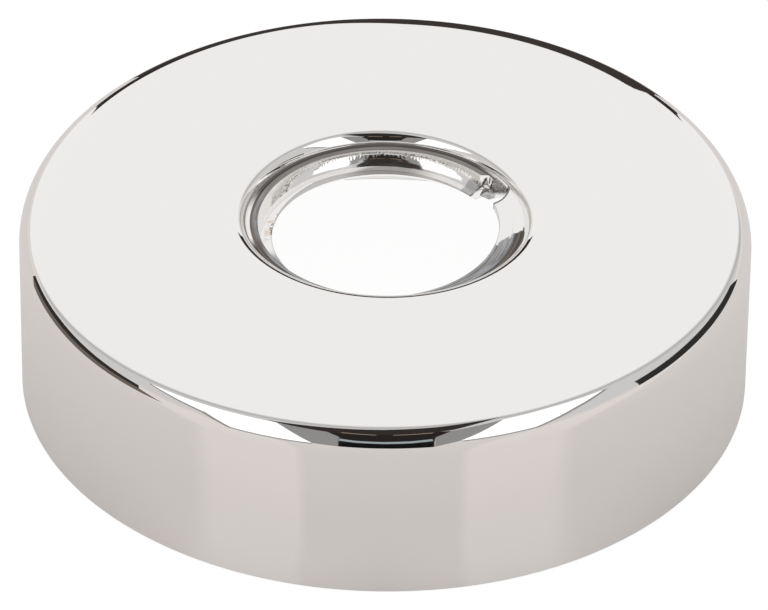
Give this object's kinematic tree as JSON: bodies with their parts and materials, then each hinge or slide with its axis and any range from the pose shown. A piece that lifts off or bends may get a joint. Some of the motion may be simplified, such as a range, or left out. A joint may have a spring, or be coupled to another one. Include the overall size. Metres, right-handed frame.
{
  "type": "threaded escutcheon",
  "caption": "Round chrome-plated cup with a flat polished face, rolled edges and a threaded central hole, to screw onto a pipe and cover where it leaves a wall.",
  "frame": {"origin": "centre of the rim, on the plane that stands on the wall", "axes": "+Z along the pipe, from the wall towards the polished face; X and Y in the plane of the wall"},
  "size_m": [0.06, 0.06, 0.0168],
  "materials": {
    "chrome_plate": "mirror polished chrome plate on brass"
  },
  "bodies": {
    "root": {"escutcheon": "chrome_plate"}
  },
  "joints": []
}
